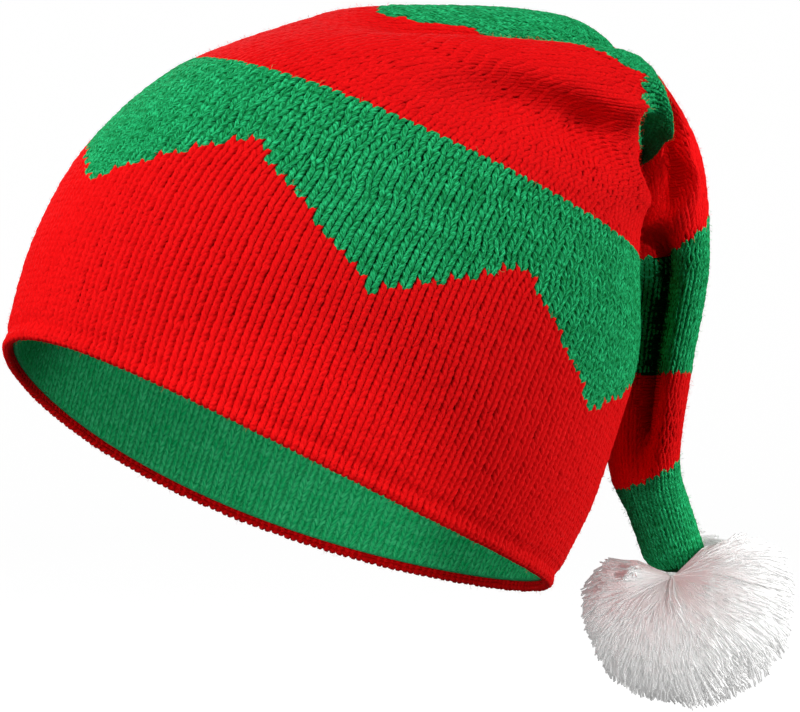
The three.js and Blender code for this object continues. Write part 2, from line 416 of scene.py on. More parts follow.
# Meshes
def make_piece(name, points, faces, material, node, uv=None, values=None):
    """A mesh of points in millimetres and faces, given as one array or a list of arrays that each have one
    number of sides, with an optional map of the yarn for each point and named values for each point,
    riding on the hat's body in place of its solid."""
    groups = [np.asarray(group, np.int32) for group in (faces if isinstance(faces, list) else [faces])]
    corners = np.concatenate([group.ravel() for group in groups])
    sides = np.concatenate([np.full(len(group), group.shape[1]) for group in groups])
    mesh = bpy.data.meshes.new(name)
    mesh.vertices.add(len(points))
    mesh.vertices.foreach_set("co", (np.asarray(points) * MM).astype(np.float32).ravel())
    mesh.loops.add(len(corners))
    mesh.loops.foreach_set("vertex_index", corners)
    mesh.polygons.add(len(sides))
    mesh.polygons.foreach_set("loop_start", np.concatenate([[0], np.cumsum(sides)[:-1]]).astype(np.int32))
    mesh.update(calc_edges=True)
    mesh.polygons.foreach_set("use_smooth", np.ones(len(sides), bool))
    if uv is not None:
        layer = mesh.uv_layers.new(name="yarn")
        layer.data.foreach_set("uv", uv[corners].astype(np.float32).ravel())
    for key, value in (values or {}).items():
        attribute = mesh.attributes.new(key, "FLOAT", "POINT")
        attribute.data.foreach_set("value", value.astype(np.float32).ravel())
    mesh.materials.append(material)
    piece = bpy.data.objects.new(name, mesh)
    bpy.context.scene.collection.objects.link(piece)
    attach(piece, "root")
    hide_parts(node)
    return piece


def yarn_piece(name, yarn, material, node):
    """A piece of made yarn: its points and faces, its map, how far up on the yarn each point is, from
    groove to crest, which sets its painted shade, and the tone of its stitch or lock."""
    values = {"crest": yarn["crest"], "tone": yarn["tone"]}
    return make_piece(
        name, yarn["points"], yarn["faces"], material, node, uv=yarn["map"], values=values
    )


def grid_faces(rows, columns, wrap):
    """Four-sided faces of a grid of points, closed round its columns if wrap is set."""
    index = np.arange(rows * columns).reshape(rows, columns)
    if wrap:
        index = np.concatenate([index, index[:, :1]], axis=1)
    corners = [index[:-1, :-1], index[:-1, 1:], index[1:, 1:], index[1:, :-1]]
    return np.stack(corners, axis=-1).reshape(-1, 4)


def pole_faces(ring, pole):
    """Three-sided faces from each step of a closed ring of points to one point."""
    return np.stack([ring, np.roll(ring, -1), np.full(len(ring), pole)], axis=-1)


def closed_faces(rows, columns):
    """Faces of a grid that is closed round its columns and drawn to a point at both ends; the two points
    come after those of the grid."""
    first = np.arange(columns)
    last = (rows - 1) * columns + first
    return [
        grid_faces(rows, columns, True)[:, ::-1],
        pole_faces(first, rows * columns),
        pole_faces(last[::-1], rows * columns + 1),
    ]


def cloth_map(at, turn):
    """The yarn's map of a cloth that goes round the hat: turn by turn across, and knit length along."""
    return np.stack(np.broadcast_arrays(turn * CLOTH_MAP, at), axis=-1).reshape(-1, 2)


def stitch_shape(steps_along, steps_across, wale, course, reach, lean, plump, sink):
    """Both legs of one knit stitch as two half-round lobes that lean apart from the stitch's foot.

    A lobe's middle line rises from the foot to the shoulder; its half width and height swell in the middle
    as the root of a sine, and the shoulder sinks behind the next stitch. Returned as wale parts across,
    course parts along and millimetres out, with the yarn's map, the crest, which sets the painted shade
    down in the grooves, and the faces."""
    t = np.linspace(0, 1, steps_along + 1)[:, None]
    round_angle = np.linspace(np.pi, 0, steps_across + 1)[None, :]
    swell = np.sin(np.pi * (SWELL_FROM + SWELL_RUN * t)) ** SWELL_ROUND
    middle_across = LEG_MIDDLE + lean * (t - 0.5)
    middle_along = reach * (t - 0.5)
    run_across, run_along = lean * wale, reach * course
    length = np.hypot(run_across, run_along)
    half_width = LEG_HALF_WIDTH * wale * (LEG_ENDS + (1 - LEG_ENDS) * swell)
    offset = half_width * np.cos(round_angle)
    across = middle_across + offset * run_along / length / wale
    along = middle_along - offset * run_across / length / course
    bulge = swell * (LEG_EDGES + (1 - LEG_EDGES) * np.sin(round_angle)) - LEG_EDGES
    out = plump * bulge - LEG_SHOULDER * plump * t - sink
    # crest: 1 on the lobe's top, 0 at its edges and ends, where the painted shade goes
    crest = swell * np.sin(round_angle)
    map_across = np.broadcast_to(round_angle / np.pi, across.shape)
    map_along = np.broadcast_to(t * length / wale, across.shape)
    faces = grid_faces(steps_along + 1, steps_across + 1, False)
    return {
        "across": np.concatenate([across.ravel(), -across.ravel()]),
        "along": np.tile(along.ravel(), 2),
        "out": np.tile(out.ravel(), 2),
        "crest": np.tile(crest.ravel(), 2),
        "map": np.stack([np.tile(map_across.ravel(), 2), np.tile(map_along.ravel(), 2)], axis=-1),
        "faces": np.concatenate([faces, faces[:, ::-1] + across.size]),
    }


def knit_stitches(path, outward, shape, along, turn, course, width, height, seed):
    """A whole knitted fabric: the stitch's shape laid at each place, bent to the face it lies on, with small
    differences from stitch to stitch. height is each stitch's share of the shape's height; a flatter
    stitch also sinks towards the wall."""
    chance = np.random.default_rng(seed)
    n = len(along)
    size = 1 + SIZE_VARIES * chance.standard_normal((n, 1))
    slip = SLIP_VARIES * chance.standard_normal((n, 1))
    rise = RISE_VARIES * chance.standard_normal((n, 1))
    place_turn = turn[:, None] + width[:, None] * (shape["across"] * size + slip)
    place_along = along[:, None] + course[:, None] * (shape["along"] * size + 0.5 * slip)
    here, normal, _, _ = face_frame(path, place_along, place_turn, outward)
    out = shape["out"] * size * height[:, None] - FLAT_SINK * (1 - height[:, None]) + rise
    points = here + normal * out[..., None]
    count = len(shape["across"])
    faces = shape["faces"] if outward > 0 else shape["faces"][:, ::-1]
    faces = faces + (np.arange(n) * count)[:, None, None]
    shift = chance.uniform(0, MAP_SHIFT, (n, 1, 2))
    return {
        "points": points.reshape(-1, 3),
        "faces": faces.reshape(-1, 4),
        "map": (shape["map"] + shift).reshape(-1, 2),
        "crest": np.tile(shape["crest"], n),
        "tone": np.repeat(chance.uniform(0, 1, n), count),
    }


def loose_fibres(path, along, turn, course, width, seed):
    """Fine fibres that stand off the knit: each is a narrow strip of two steps from a random place in a
    stitch, along the face one way or another and lifted off it in a bow."""
    chance = np.random.default_rng(seed)
    n = int(FUZZ_PER_STITCH * len(along))
    pick = chance.integers(0, len(along), n)
    place_along = along[pick] + course[pick] * chance.uniform(-0.5, 0.5, n)
    place_turn = turn[pick] + width[pick] * chance.uniform(-0.5, 0.5, n)
    here, normal, up, across = face_frame(path, place_along, place_turn, 1.0)
    heading = chance.uniform(0, 2 * np.pi, (n, 1))
    run = up * np.cos(heading) + across * np.sin(heading)
    aside = np.cross(normal, run)
    length = chance.uniform(*FUZZ_LENGTH, (n, 1))
    lift = chance.uniform(*FUZZ_LIFT, (n, 1))
    bow = chance.normal(0, FUZZ_BOW, (n, 1))
    middle = here + length * 0.5 * run + lift * FUZZ_MIDDLE * normal + length * bow * aside
    tip = here + length * run + lift * chance.uniform(*FUZZ_TIP, (n, 1)) * normal
    line = np.stack([here - FUZZ_ROOT * normal, middle, tip], axis=1)
    half = FUZZ_WIDTH / 2 * FUZZ_TAPER[None, :, None] * aside[:, None, :]
    points = np.stack([line - half, line + half], axis=2)
    count = 2 * len(FUZZ_TAPER)
    faces = grid_faces(len(FUZZ_TAPER), 2, False)[None] + (np.arange(n) * count)[:, None, None]
    return {
        "points": points.reshape(-1, 3),
        "faces": faces.reshape(-1, 4),
        "map": np.repeat(chance.uniform(0, MAP_SHIFT, (n, 2)), count, axis=0),
        "crest": np.ones(n * count),
        "tone": np.ones(n * count),
    }


# Yarn finishes
def math_node(tree, operation, *inputs):
    """The output of a Math node in a tree; each input is a number to set or an output to link."""
    node = tree.nodes.new("ShaderNodeMath")
    node.operation = operation
    for socket, value in zip(node.inputs, inputs):
        if isinstance(value, float):
            socket.default_value = value
        else:
            tree.links.new(value, socket)
    return node.outputs[0]


def colour_node(tree, factor, first, second):
    """The output of a node that goes from one colour to another by a factor; the first may be an output."""
    node = tree.nodes.new("ShaderNodeMix")
    node.data_type = "RGBA"
    tree.links.new(factor, node.inputs["Factor"])
    if isinstance(first, tuple):
        node.inputs["A"].default_value = (*first, 1)
    else:
        tree.links.new(first, node.inputs["A"])
    node.inputs["B"].default_value = (*second, 1)
    return node.outputs["Result"]


def value_node(tree, name):
    """The output of a node that reads one of the piece's named values."""
    node = tree.nodes.new("ShaderNodeAttribute")
    node.attribute_name = name
    return node.outputs["Fac"]


def map_node(tree):
    """The output of a node that reads the piece's yarn map."""
    node = tree.nodes.new("ShaderNodeUVMap")
    node.uv_map = "yarn"
    return node.outputs["UV"]


def start_material(name, roughness, gloss):
    """A new material with an even roughness and gloss, and its tree and shader."""
    material = bpy.data.materials.new(name)
    material.use_nodes = True
    shader = material.node_tree.nodes["Principled BSDF"]
    shader.inputs["Roughness"].default_value = roughness
    shader.inputs["Specular IOR Level"].default_value = gloss
    return material, material.node_tree, shader


def add_relief(tree, shader, height, strength, depth):
    """Bump on a shader from a height, at most `depth` metres deep."""
    relief = tree.nodes.new("ShaderNodeBump")
    relief.inputs["Strength"].default_value = strength
    relief.inputs["Distance"].default_value = depth
    tree.links.new(height, relief.inputs["Height"])
    tree.links.new(relief.outputs["Normal"], shader.inputs["Normal"])


def fibre_group():
    """Shared yarn detail: fine noise drawn out along the yarn's map and sheared by its twist gives the
    fibres. Puts out the fibres, cleared to run from 0 to 1, where the painted highlights go, and a height
    for bump."""
    group = bpy.data.node_groups.new("yarn_fibres", "ShaderNodeTree")
    for name, default in (("Across", 4.0), ("Along", 1.2), ("Twist", 0.5)):
        socket = group.interface.new_socket(name, in_out="INPUT", socket_type="NodeSocketFloat")
        socket.default_value = default
    for name in ("Fibres", "Height"):
        group.interface.new_socket(name, in_out="OUTPUT", socket_type="NodeSocketFloat")
    nodes, links = group.nodes, group.links
    inputs, outputs = nodes.new("NodeGroupInput"), nodes.new("NodeGroupOutput")
    parts = nodes.new("ShaderNodeSeparateXYZ")
    links.new(map_node(group), parts.inputs[0])
    twist = math_node(
        group, "MULTIPLY_ADD", parts.outputs["Y"], inputs.outputs["Twist"], parts.outputs["X"]
    )
    place = nodes.new("ShaderNodeCombineXYZ")
    links.new(math_node(group, "MULTIPLY", twist, inputs.outputs["Across"]), place.inputs["X"])
    links.new(math_node(group, "MULTIPLY", parts.outputs["Y"], inputs.outputs["Along"]), place.inputs["Y"])
    fine = nodes.new("ShaderNodeTexNoise")
    fine.inputs["Scale"].default_value = 1.0
    fine.inputs["Detail"].default_value = 3.0
    fine.inputs["Roughness"].default_value = 0.65
    links.new(place.outputs[0], fine.inputs["Vector"])
    clear = nodes.new("ShaderNodeMapRange")
    clear.inputs["From Min"].default_value = 0.42
    clear.inputs["From Max"].default_value = 0.64
    links.new(fine.outputs["Fac"], clear.inputs["Value"])
    links.new(clear.outputs[0], outputs.inputs["Fibres"])
    links.new(fine.outputs["Fac"], outputs.inputs["Height"])
    return group


FIBRES = fibre_group()
YARN_GLOSS = 0.06
YARN_RELIEF = 0.0006
# the share of the painted fibre highlights that every stitch gets; the rest goes by its random tone
PLAIN_STREAKS = 0.6


def yarn_material(name, painted_shade, plain, light, across, along, bump, roughness, highlight_streaks, glow=0.0):
    """Dyed yarn: painted shade, a darker colour, down in the grooves and at the strands' roots, plain on the
    yarn's face and painted highlights, a lighter colour, along single fibres, with a little difference
    from stitch to stitch and fibre bump. glow stands for the light that pale yarn passes on from strand
    to strand, painted on as a faint glow."""
    material, tree, shader = start_material(name, roughness, YARN_GLOSS)
    shader.inputs["Emission Color"].default_value = (*light, 1)
    shader.inputs["Emission Strength"].default_value = glow
    fibres = tree.nodes.new("ShaderNodeGroup")
    fibres.node_tree = FIBRES
    fibres.inputs["Across"].default_value = across
    fibres.inputs["Along"].default_value = along
    # painted shade: the darker colour in the grooves, going to the plain colour on the crest
    face = colour_node(tree, value_node(tree, "crest"), painted_shade, plain)
    tone = value_node(tree, "tone")
    # painted highlights: the fibres lighten the colour towards the light one, more or less by the random tone
    share = math_node(tree, "MULTIPLY_ADD", tone, (1 - PLAIN_STREAKS) * highlight_streaks, PLAIN_STREAKS * highlight_streaks)
    highlight_streak = math_node(tree, "MULTIPLY", fibres.outputs["Fibres"], share)
    tree.links.new(colour_node(tree, highlight_streak, face, light), shader.inputs["Base Color"])
    add_relief(tree, shader, fibres.outputs["Height"], bump, YARN_RELIEF)
    return material


# Each yarn's first colour is painted shade for its grooves and roots, its last the painted highlight on its
# fibres.
RED = yarn_material(
    "red_yarn",
    painted_shade=(0.60, 0.0007, 0.0012),
    plain=(0.76, 0.002, 0.003),
    light=(0.93, 0.008, 0.009),
    across=5.0,
    along=2.4,
    bump=0.7,
    roughness=0.8,
    highlight_streaks=0.7,
)
GREEN = yarn_material(
    "green_yarn",
    painted_shade=(0.001, 0.055, 0.011),
    plain=(0.002, 0.22, 0.05),
    light=(0.035, 0.74, 0.28),
    across=5.0,
    along=2.4,
    bump=0.8,
    roughness=0.8,
    highlight_streaks=0.9,
)
LINING_GREEN = yarn_material(
    "lining_yarn",
    painted_shade=(0.003, 0.28, 0.073),
    plain=(0.014, 0.70, 0.215),
    light=(0.10, 0.88, 0.39),
    across=3.0,
    along=1.2,
    bump=0.5,
    roughness=0.8,
    highlight_streaks=0.8,
)
WHITE = yarn_material(
    "white_yarn",
    painted_shade=(0.88, 0.865, 0.845),
    plain=(0.94, 0.938, 0.932),
    light=(0.97, 0.97, 0.97),
    across=2.0,
    along=0.3,
    bump=0.2,
    roughness=0.6,
    highlight_streaks=0.6,
    glow=STRAND_GLOW,
)


# The back of the knit: its two colours, painted darker as shade, and its bars' scale, wander, bump and depth.
WALL_SHADE_RED = (0.62, 0.0007, 0.0012)
WALL_SHADE_GREEN = (0.001, 0.05, 0.011)
BAR_SCALE = 0.314
BAR_WANDER = 2.0
BAR_BUMP = 0.6
BAR_RELIEF = 0.0008


def wall_material():
    """The knit seen down between its stitches and from inside: red or green by the stripes, darkened as
    painted shade, with the little bars of the back of the knit as bump from waves over the stitch map."""
    material, tree, shader = start_material("knit_back", roughness=0.9, gloss=0.05)
    green = math_node(tree, "GREATER_THAN", value_node(tree, "stripe"), 0.0)
    colour = colour_node(tree, green, WALL_SHADE_RED, WALL_SHADE_GREEN)
    tree.links.new(colour, shader.inputs["Base Color"])
    bars = tree.nodes.new("ShaderNodeTexWave")
    bars.bands_direction = "Y"
    bars.inputs["Scale"].default_value = BAR_SCALE
    bars.inputs["Distortion"].default_value = BAR_WANDER
    tree.links.new(map_node(tree), bars.inputs["Vector"])
    add_relief(tree, shader, bars.outputs["Fac"], BAR_BUMP, BAR_RELIEF)
    return material


KNIT_BACK = wall_material()


# The outer knit
def course_lengths():
    """Knit lengths of the courses, from inside the rolled rim to the end of the tail: closer together over
    the folded top, where the cloth is stretched."""
    return np.concatenate(
        [
            np.arange(-ROLLED_IN, FOLD_FROM - COURSE / 2, COURSE),
            np.arange(FOLD_FROM, FOLD_TO - FOLD_COURSE / 2, FOLD_COURSE),
            np.arange(FOLD_TO, TAIL_END - COURSE / 2, COURSE),
        ]
    )


def wale_cells(courses):
    """Middle and width, in radians of turn, of each wale in each course. The wales are as many as the girth
    needs; those that are narrowed away are spread evenly round by the golden ratio, and each shrinks
    over a few courses before it ends."""
    wale = WALE * np.interp(courses, WALE_NARROWS["at"], WALE_NARROWS["share"])
    wanted = np.minimum.accumulate(np.minimum(np.interp(courses, GIRTH_AT, GIRTH) / wale, RIM_WALES))
    order = np.argsort(np.argsort((np.arange(RIM_WALES) * GOLDEN_RATIO) % 1))
    left = wanted[:, None] - order[None, :]
    weight = np.clip(left / WALE_FADE + 0.5, 0, 1)
    edge = np.cumsum(weight, axis=1)
    total = edge[:, -1:]
    ring_turn = np.linspace(-np.pi, np.pi, WALE_CHORDS + 1)
    ring = knit_face(np.maximum(courses, 0)[:, None], ring_turn[None, :])
    chord = np.linalg.norm(np.diff(ring, axis=1), axis=-1)
    walked = np.concatenate([np.zeros((len(courses), 1)), np.cumsum(chord, axis=1)], axis=1)
    walked = walked / walked[:, -1:]
    middle, width = np.empty_like(weight), np.empty_like(weight)
    for row in range(len(courses)):
        upper = np.interp(edge[row] / total[row], walked[row], ring_turn)
        lower = np.interp((edge[row] - weight[row]) / total[row], walked[row], ring_turn)
        middle[row], width[row] = (upper + lower) / 2, upper - lower
    return middle, width, weight


def stripe_pieces():
    """One piece of stitches for each stripe and the loose fibres of each colour."""
    shapes = {
        "red": stitch_shape(3, 3, WALE, COURSE, reach=2.0, lean=0.30, plump=1.25, sink=0.4),
        "green": stitch_shape(3, 3, WALE, COURSE, reach=1.85, lean=0.30, plump=1.5, sink=0.5),
    }
    yarns = {"red": RED, "green": GREEN}
    courses = course_lengths()
    turn, width, weight = wale_cells(courses)
    at = np.broadcast_to(courses[:, None], turn.shape)
    step = np.broadcast_to(np.gradient(courses)[:, None], turn.shape)
    green = stripe_depth(at, turn) > 0
    narrow = np.interp(at, WALE_NARROWS["at"], WALE_NARROWS["share"])
    flat = np.interp(at, RED_FLATTENS["at"], RED_FLATTENS["share"])
    height = np.where(green, narrow, np.minimum(narrow, flat))
    shown = weight > WALE_LEAST
    of_colour = {"red": shown & ~green, "green": shown & green}
    made = []
    for number in range(2 * len(STRIPE_ENDS)):
        colour = "green" if number % 2 else "red"
        pair = number // 2
        above = STRIPE_ENDS[pair - 1] if pair else -np.inf
        pick = of_colour[colour] & (at > above) & (at < STRIPE_ENDS[pair])
        cells = [v[pick] for v in (at, turn, step, width, height)]
        knit = knit_stitches(knit_path, 1.0, shapes[colour], *cells, number)
        name = f"{colour}_stripe_{pair + 1}"
        made.append(yarn_piece(name, knit, yarns[colour], "knit_shell"))
    for colour, pick in of_colour.items():
        cells = [v[pick] for v in (at, turn, step, width)]
        fuzz = loose_fibres(knit_path, *cells, FUZZ_SEED)
        made.append(yarn_piece(f"{colour}_fuzz", fuzz, yarns[colour], "knit_shell"))
    return made


def knit_wall():
    """The cloth that the stitches stand on, as a closed wall: the outer bed, round the rim, the inner face,
    and both drawn to a point at the end of the tail."""
    turn = np.linspace(-np.pi, np.pi, CLOTH_TURNS, endpoint=False)[None, :]
    half = (KNIT_WALL - WALL_BED) / 2
    swing = np.linspace(0, np.pi, EDGE_ROWS + 2)[1:-1, None]
    out_end, out_gather = TAIL_END, TAIL_END - TAIL_GATHER
    in_end, in_gather = out_end - KNIT_WALL, out_gather - KNIT_WALL
    out_at = np.concatenate(
        [
            np.linspace(out_end, out_gather, GATHER_ROWS + 2)[1:-1],
            np.linspace(out_gather, EDGE_ROUND, OUTSIDE_ROWS),
        ]
    )[:, None]
    in_at = np.concatenate(
        [
            np.linspace(EDGE_ROUND, in_gather, INSIDE_ROWS),
            np.linspace(in_gather, in_end, GATHER_ROWS + 1)[1:],
        ]
    )[:, None]
    at = np.concatenate([out_at, EDGE_ROUND - half * np.sin(swing), in_at])
    lift = np.concatenate(
        [
            hem_dip(out_at) - WALL_BED,
            -WALL_BED - half * (1 - np.cos(swing)),
            np.full_like(in_at, -KNIT_WALL),
        ]
    )
    rings = knit_face(at, turn, lift)
    ends = [knit_face(out_end, 0.0), rings[-1].mean(axis=0)]
    tail_depth = stripe_depth(np.full(2, out_end), np.zeros(2))
    return make_piece(
        "knit_wall",
        np.concatenate([rings.reshape(-1, 3), ends]),
        closed_faces(len(at), CLOTH_TURNS),
        KNIT_BACK,
        "knit_shell",
        uv=np.concatenate([cloth_map(at, turn), np.zeros((2, 2))]),
        values={"stripe": np.concatenate([stripe_depth(at, turn).ravel(), tail_depth])},
    )


# The lining
def lining_stitches():
    """The lining's fine knit, seen from the inside of the hat."""
    shape = stitch_shape(3, 2, LINING_WALE, LINING_COURSE, reach=1.6, lean=0.22, plump=0.9, sink=0.2)
    courses = np.arange(LINING_FROM + LINING_FIRST, LINING_TO, LINING_COURSE)
    turn = (np.arange(LINING_WALES) + 0.5) / LINING_WALES * 2 * np.pi - np.pi
    along, turn = (v.ravel() for v in np.broadcast_arrays(courses[:, None], turn[None, :]))
    width = np.full(len(along), 2 * np.pi / LINING_WALES)
    step = np.full(len(along), LINING_COURSE)
    height = np.ones(len(along))
    knit = knit_stitches(lining_path, -1.0, shape, along, turn, step, width, height, LINING_SEED)
    return yarn_piece("lining_stitches", knit, LINING_GREEN, "lining")


def lining_band():
    """The cloth that the lining's stitches stand on, as a closed band: down its back and up its face."""
    turn = np.linspace(-np.pi, np.pi, CLOTH_TURNS, endpoint=False)[None, :]
    rows = np.linspace(LINING_FROM, LINING_TO, LINING_ROWS)[:, None]
    at = np.concatenate([rows[::-1], rows])
    lift = np.repeat([-LINING_BACK, LINING_BED - LINING_FACE], LINING_ROWS)[:, None]
    count = len(at) * CLOTH_TURNS
    band = {
        "points": knit_face(at, turn, lift).reshape(-1, 3),
        "faces": grid_faces(len(at) + 1, CLOTH_TURNS, True)[:, ::-1] % count,
        "map": cloth_map(at, turn),
        # the whole band in the yarn's painted shade colour
        "crest": np.zeros(count),
        "tone": np.full(count, LINING_TONE),
    }
    return yarn_piece("lining_band", band, LINING_GREEN, "lining")


# The pompom
def pompom_point(from_tie, around, layer):
    """Points of the ball: a round that sinks to the tie as a smooth dimple, is pressed flatter above, and
    parts round the tail. from_tie is the angle away from the tie, around the turn about it, and layer
    the share of the full size."""
    tie = (POMPOM_TIE - POMPOM_MIDDLE) / POMPOM_RADIUS
    sunk = np.linalg.norm(tie)
    pole = tie / sunk
    first = unit(np.cross(pole, [0.0, 0.0, 1.0]))
    second = np.cross(pole, first)
    sideways = np.cos(around)[..., None] * first + np.sin(around)[..., None] * second
    way = np.cos(from_tie)[..., None] * pole + np.sin(from_tie)[..., None] * sideways
    size = 1 - (1 - sunk) * np.exp(-((from_tie / POMPOM_DIMPLE) ** 2))
    place = way * (size * layer * POMPOM_RADIUS)[..., None]
    height = place[..., 2]
    above = np.maximum(height, 0)
    place[..., 2] = np.minimum(height, 0) + above / (1 + (above / POMPOM_TOP) ** 3) ** (1 / 3)
    return clear_of_tail(place + POMPOM_MIDDLE)


def clear_of_tail(points):
    """Points moved straight out from the tail's middle line wherever they would be inside the tail, and
    whether each lies against the tail above its end."""
    front_and_back = np.array([0.0, np.pi])
    low = knit_face(TAIL_END - TAIL_GATHER, front_and_back).mean(axis=0)
    high = knit_face(TAIL_UP, front_and_back).mean(axis=0)
    way = unit(high - low)
    along = (points - low) @ way
    away = points - low - along[..., None] * way
    gap = np.linalg.norm(away, axis=-1)
    inside = np.clip(TAIL_CLEAR - gap, 0, None) * np.clip((along + TAIL_FADE) / TAIL_FADE, 0, 1)
    against = (gap < TAIL_CLEAR + TAIL_BARE) & (along > -TAIL_GATHER / 2)
    return points + away * (inside / np.maximum(gap, 0.5))[..., None], against


def strand_lines(chance):
    """Middle lines of the pompom's strands, with the angle from the tie at each step and each one's tone.

    The strands fan out from the tie and lie over the ball, in locks that end at places spread evenly over
    it. Where the tail is in the way, mirrored locks come from a tie on its other side. A strand is deepest
    where it leaves the tie and comes up to the outside at its end, so that the ends overlap like thatch;
    the ends are trimmed a little unevenly."""
    n = LOCKS * LOCK_STRANDS
    k = np.arange(LOCKS) + 0.5
    lock_end = np.arccos(LOCKS_FROM - k / LOCKS * (LOCKS_FROM + LOCKS_TO))
    lock_end = np.repeat(lock_end + chance.normal(0, LOCK_VARIES["end"], LOCKS), LOCK_STRANDS)
    around = k * np.pi * (1 + 5**0.5) + chance.normal(0, LOCK_VARIES["turn"], LOCKS)
    ends = np.clip(lock_end + chance.normal(0, STRAND_VARIES["end"], n), *STRAND_ENDS)
    spread = chance.normal(0, STRAND_VARIES["turn"], n) / np.maximum(np.sin(lock_end), SPREAD_LEAST)
    around = np.repeat(around, LOCK_STRANDS) + spread
    trim = np.repeat(chance.normal(0, LOCK_VARIES["trim"], LOCKS), LOCK_STRANDS)
    trim = trim + chance.normal(0, STRAND_VARIES["trim"], n)
    t = np.linspace(0, 1, len(STRAND_TAPER))[None, :]
    start = chance.uniform(*STRAND_START, (n, 1))
    from_tie = start + (ends[:, None] - start) * t
    left = ends[:, None] - from_tie
    layer = (1 + trim[:, None]) * (1 - STRAND_DEEP * (1 - np.exp(-left / STRAND_RISE)))
    bow = np.repeat(chance.normal(0, LOCK_VARIES["bow"], LOCKS), LOCK_STRANDS)[:, None]
    bow = bow + chance.normal(0, STRAND_VARIES["bow"], (n, 1))
    wander = bow * np.sin(np.pi * t) + chance.normal(0, STRAND_VARIES["drift"], (n, 1)) * t
    line, against = pompom_point(from_tie, around[:, None] + wander, layer)
    free = ~against[:, 1:].any(axis=1)
    lock_free = free.reshape(LOCKS, LOCK_STRANDS).mean(axis=1) > LOCK_FREE
    lock_tip = line[:, -1].reshape(LOCKS, LOCK_STRANDS, 3).mean(axis=1)
    apart = np.linalg.norm((lock_tip * MIRROR)[:, None] - lock_tip[None], axis=-1)
    bare = ~lock_free[apart.argmin(axis=1)]
    far = free & np.repeat(bare, LOCK_STRANDS)
    tone = np.repeat(chance.uniform(0, 1, LOCKS), LOCK_STRANDS)
    return (
        np.concatenate([line[free], line[far] * MIRROR]),
        np.concatenate([from_tie[free], from_tie[far]]),
        np.concatenate([tone[free], tone[far]]),
    )


def pompom_strands():
    """The pompom's cut strands: a small three-sided ring carried along each middle line, thickest past its
    middle. The yarn's map runs along the strand, and its roots carry the most painted shade."""
    chance = np.random.default_rng(POMPOM_SEED)
    line, from_tie, lock_tone = strand_lines(chance)
    n, steps = line.shape[:2]
    heading = unit(np.gradient(line, axis=1))
    aside = unit(np.cross(heading, line - POMPOM_MIDDLE))
    out = np.cross(aside, heading)
    corner = (np.arange(STRAND_SIDES) * 2 * np.pi / STRAND_SIDES)[None, None, :, None]
    ring = aside[:, :, None, :] * np.sin(corner) + out[:, :, None, :] * np.cos(corner)
    points = line[:, :, None, :] + ring * (STRAND * STRAND_TAPER)[None, :, None, None]
    first = np.arange(n) * STRAND_SIDES * steps
    faces = grid_faces(steps, STRAND_SIDES, True)[None] + first[:, None, None]
    shape = points.shape[:3]
    # painted shade, most at the roots inside the ball and none at the tips
    rise = STRAND_ROOT_SHADE + (1 - STRAND_ROOT_SHADE) * np.linspace(0, 1, steps)
    run = np.broadcast_to((from_tie * POMPOM_RADIUS)[:, :, None], shape)
    over = np.broadcast_to(np.arange(STRAND_SIDES) / STRAND_SIDES, shape)
    over = over + chance.uniform(0, MAP_SHIFT, (n, 1, 1))
    strands = {
        "points": points.reshape(-1, 3),
        "faces": faces.reshape(-1, 4),
        "map": np.stack([over, run], axis=-1).reshape(-1, 2),
        "crest": np.broadcast_to(rise[None, :, None], shape),
        "tone": np.broadcast_to(lock_tone[:, None, None], shape),
    }
    return yarn_piece("pompom_strands", strands, WHITE, "pompom")


def pompom_heart():
    """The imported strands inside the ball: the ball's own form at about three quarters of its size, cut level
    below the tail's end, closed."""
    from_tie = np.linspace(0, np.pi, HEART_ROWS + 2)[1:-1, None]
    around = np.linspace(0, 2 * np.pi, HEART_TURNS, endpoint=False)[None, :]
    from_tie, around = np.broadcast_arrays(from_tie, around)
    from_tie = np.concatenate([from_tie.ravel(), [0.0, np.pi]])
    around = np.concatenate([around.ravel(), [0.0, 0.0]])
    points, _ = pompom_point(from_tie, around, np.full(len(around), HEART_SIZE))
    points[:, 2] = np.minimum(points[:, 2], HEART_TOP)
    heart = {
        "points": points,
        "faces": closed_faces(HEART_ROWS, HEART_TURNS),
        "map": np.stack([around, from_tie], axis=-1) * HEART_MAP,
        # the whole heart in the yarn's painted shade colour
        "crest": np.zeros(len(points)),
        "tone": np.zeros(len(points)),
    }
    return yarn_piece("pompom_heart", heart, WHITE, "pompom")


# The studio, in metres: the photograph's view, and a paper floor that turns up into a round wall
VIEW_TURN = np.radians(64)
VIEW_DISTANCE = 1.8
VIEW_WIDTH = 0.264
SENSOR_MM = 36.0
AIM = np.array([0.0170, 0.0349, 0.0390])
RIGHT = np.array([np.cos(VIEW_TURN), np.sin(VIEW_TURN), 0.0])
BACK = np.array([np.sin(VIEW_TURN), -np.cos(VIEW_TURN), 0.0])
UP = np.array([0.0, 0.0, 1.0])
FLOOR_Z = -0.16
FLOOR_RINGS = (0.5, 1.5, 3.0)
FLOOR_FLAT = 4.2
FLOOR_CURVE = 1.6
WALL_TOP = 2.2
FLOOR_TURNS = 96
PAPER_DEEP = (0.14, 0.14, 0.14)
PAPER_LIGHT = (0.16, 0.16, 0.16)
PAPER_GLOW = 0.98

# Soft boxes, placed in metres from the aim along the view's right, towards the camera and up.
LIGHTS = np.array(
    [
        ("key", -1.2, 1.1, 1.3, 0.8, 41),
        ("left", -1.5, 1.2, 0.25, 0.8, 10),
        ("top", -0.2, 0.0, 1.9, 1.0, 3),
        ("side", 1.8, 0.3, 0.4, 0.8, 33),
        ("behind", -0.5, -1.8, 0.9, 0.8, 14),
    ],
    dtype=[
        ("name", "U12"),
        ("right", float),
        ("back", float),
        ("up", float),
        ("size", float),
        ("power", float),
    ],
)
